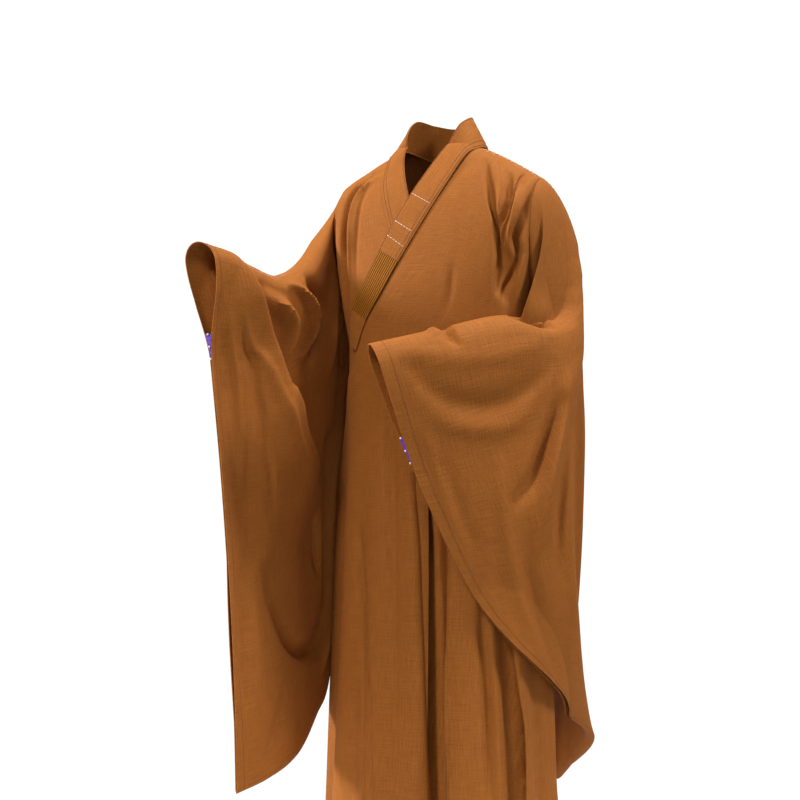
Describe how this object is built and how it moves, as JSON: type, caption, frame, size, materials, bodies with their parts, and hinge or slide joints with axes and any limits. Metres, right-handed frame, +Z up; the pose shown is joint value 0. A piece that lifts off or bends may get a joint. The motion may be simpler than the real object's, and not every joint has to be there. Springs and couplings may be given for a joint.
{
  "type": "wide-sleeved robe",
  "caption": "Brown wide-sleeved ceremonial robe with a crossed collar, a stitched collar zone and long bag sleeves, hollow and posed as worn.",
  "frame": {"origin": "middle of the shoulder line at the base of the neck, where the wearer carries the robe", "axes": "+Z up along the wearer's height, -Y to the front, +X to the wearer's left"},
  "size_m": [0.6202, 0.603, 1.4533],
  "materials": {
    "robe_cloth": "plain woven cloth with fine slubs and a soft dull sheen",
    "stitched_cloth": "woven cloth closely stitched with ochre thread",
    "tack_thread": "wound thread"
  },
  "bodies": {
    "root": {"back": "robe_cloth", "front_left": "robe_cloth", "front_right": "robe_cloth", "sleeve_left": "robe_cloth", "sleeve_right": "robe_cloth", "collar_band": "robe_cloth", "collar_end": "robe_cloth", "collar_quilt": "stitched_cloth", "tack_left": "tack_thread", "tack_right": "tack_thread"}
  },
  "joints": []
}
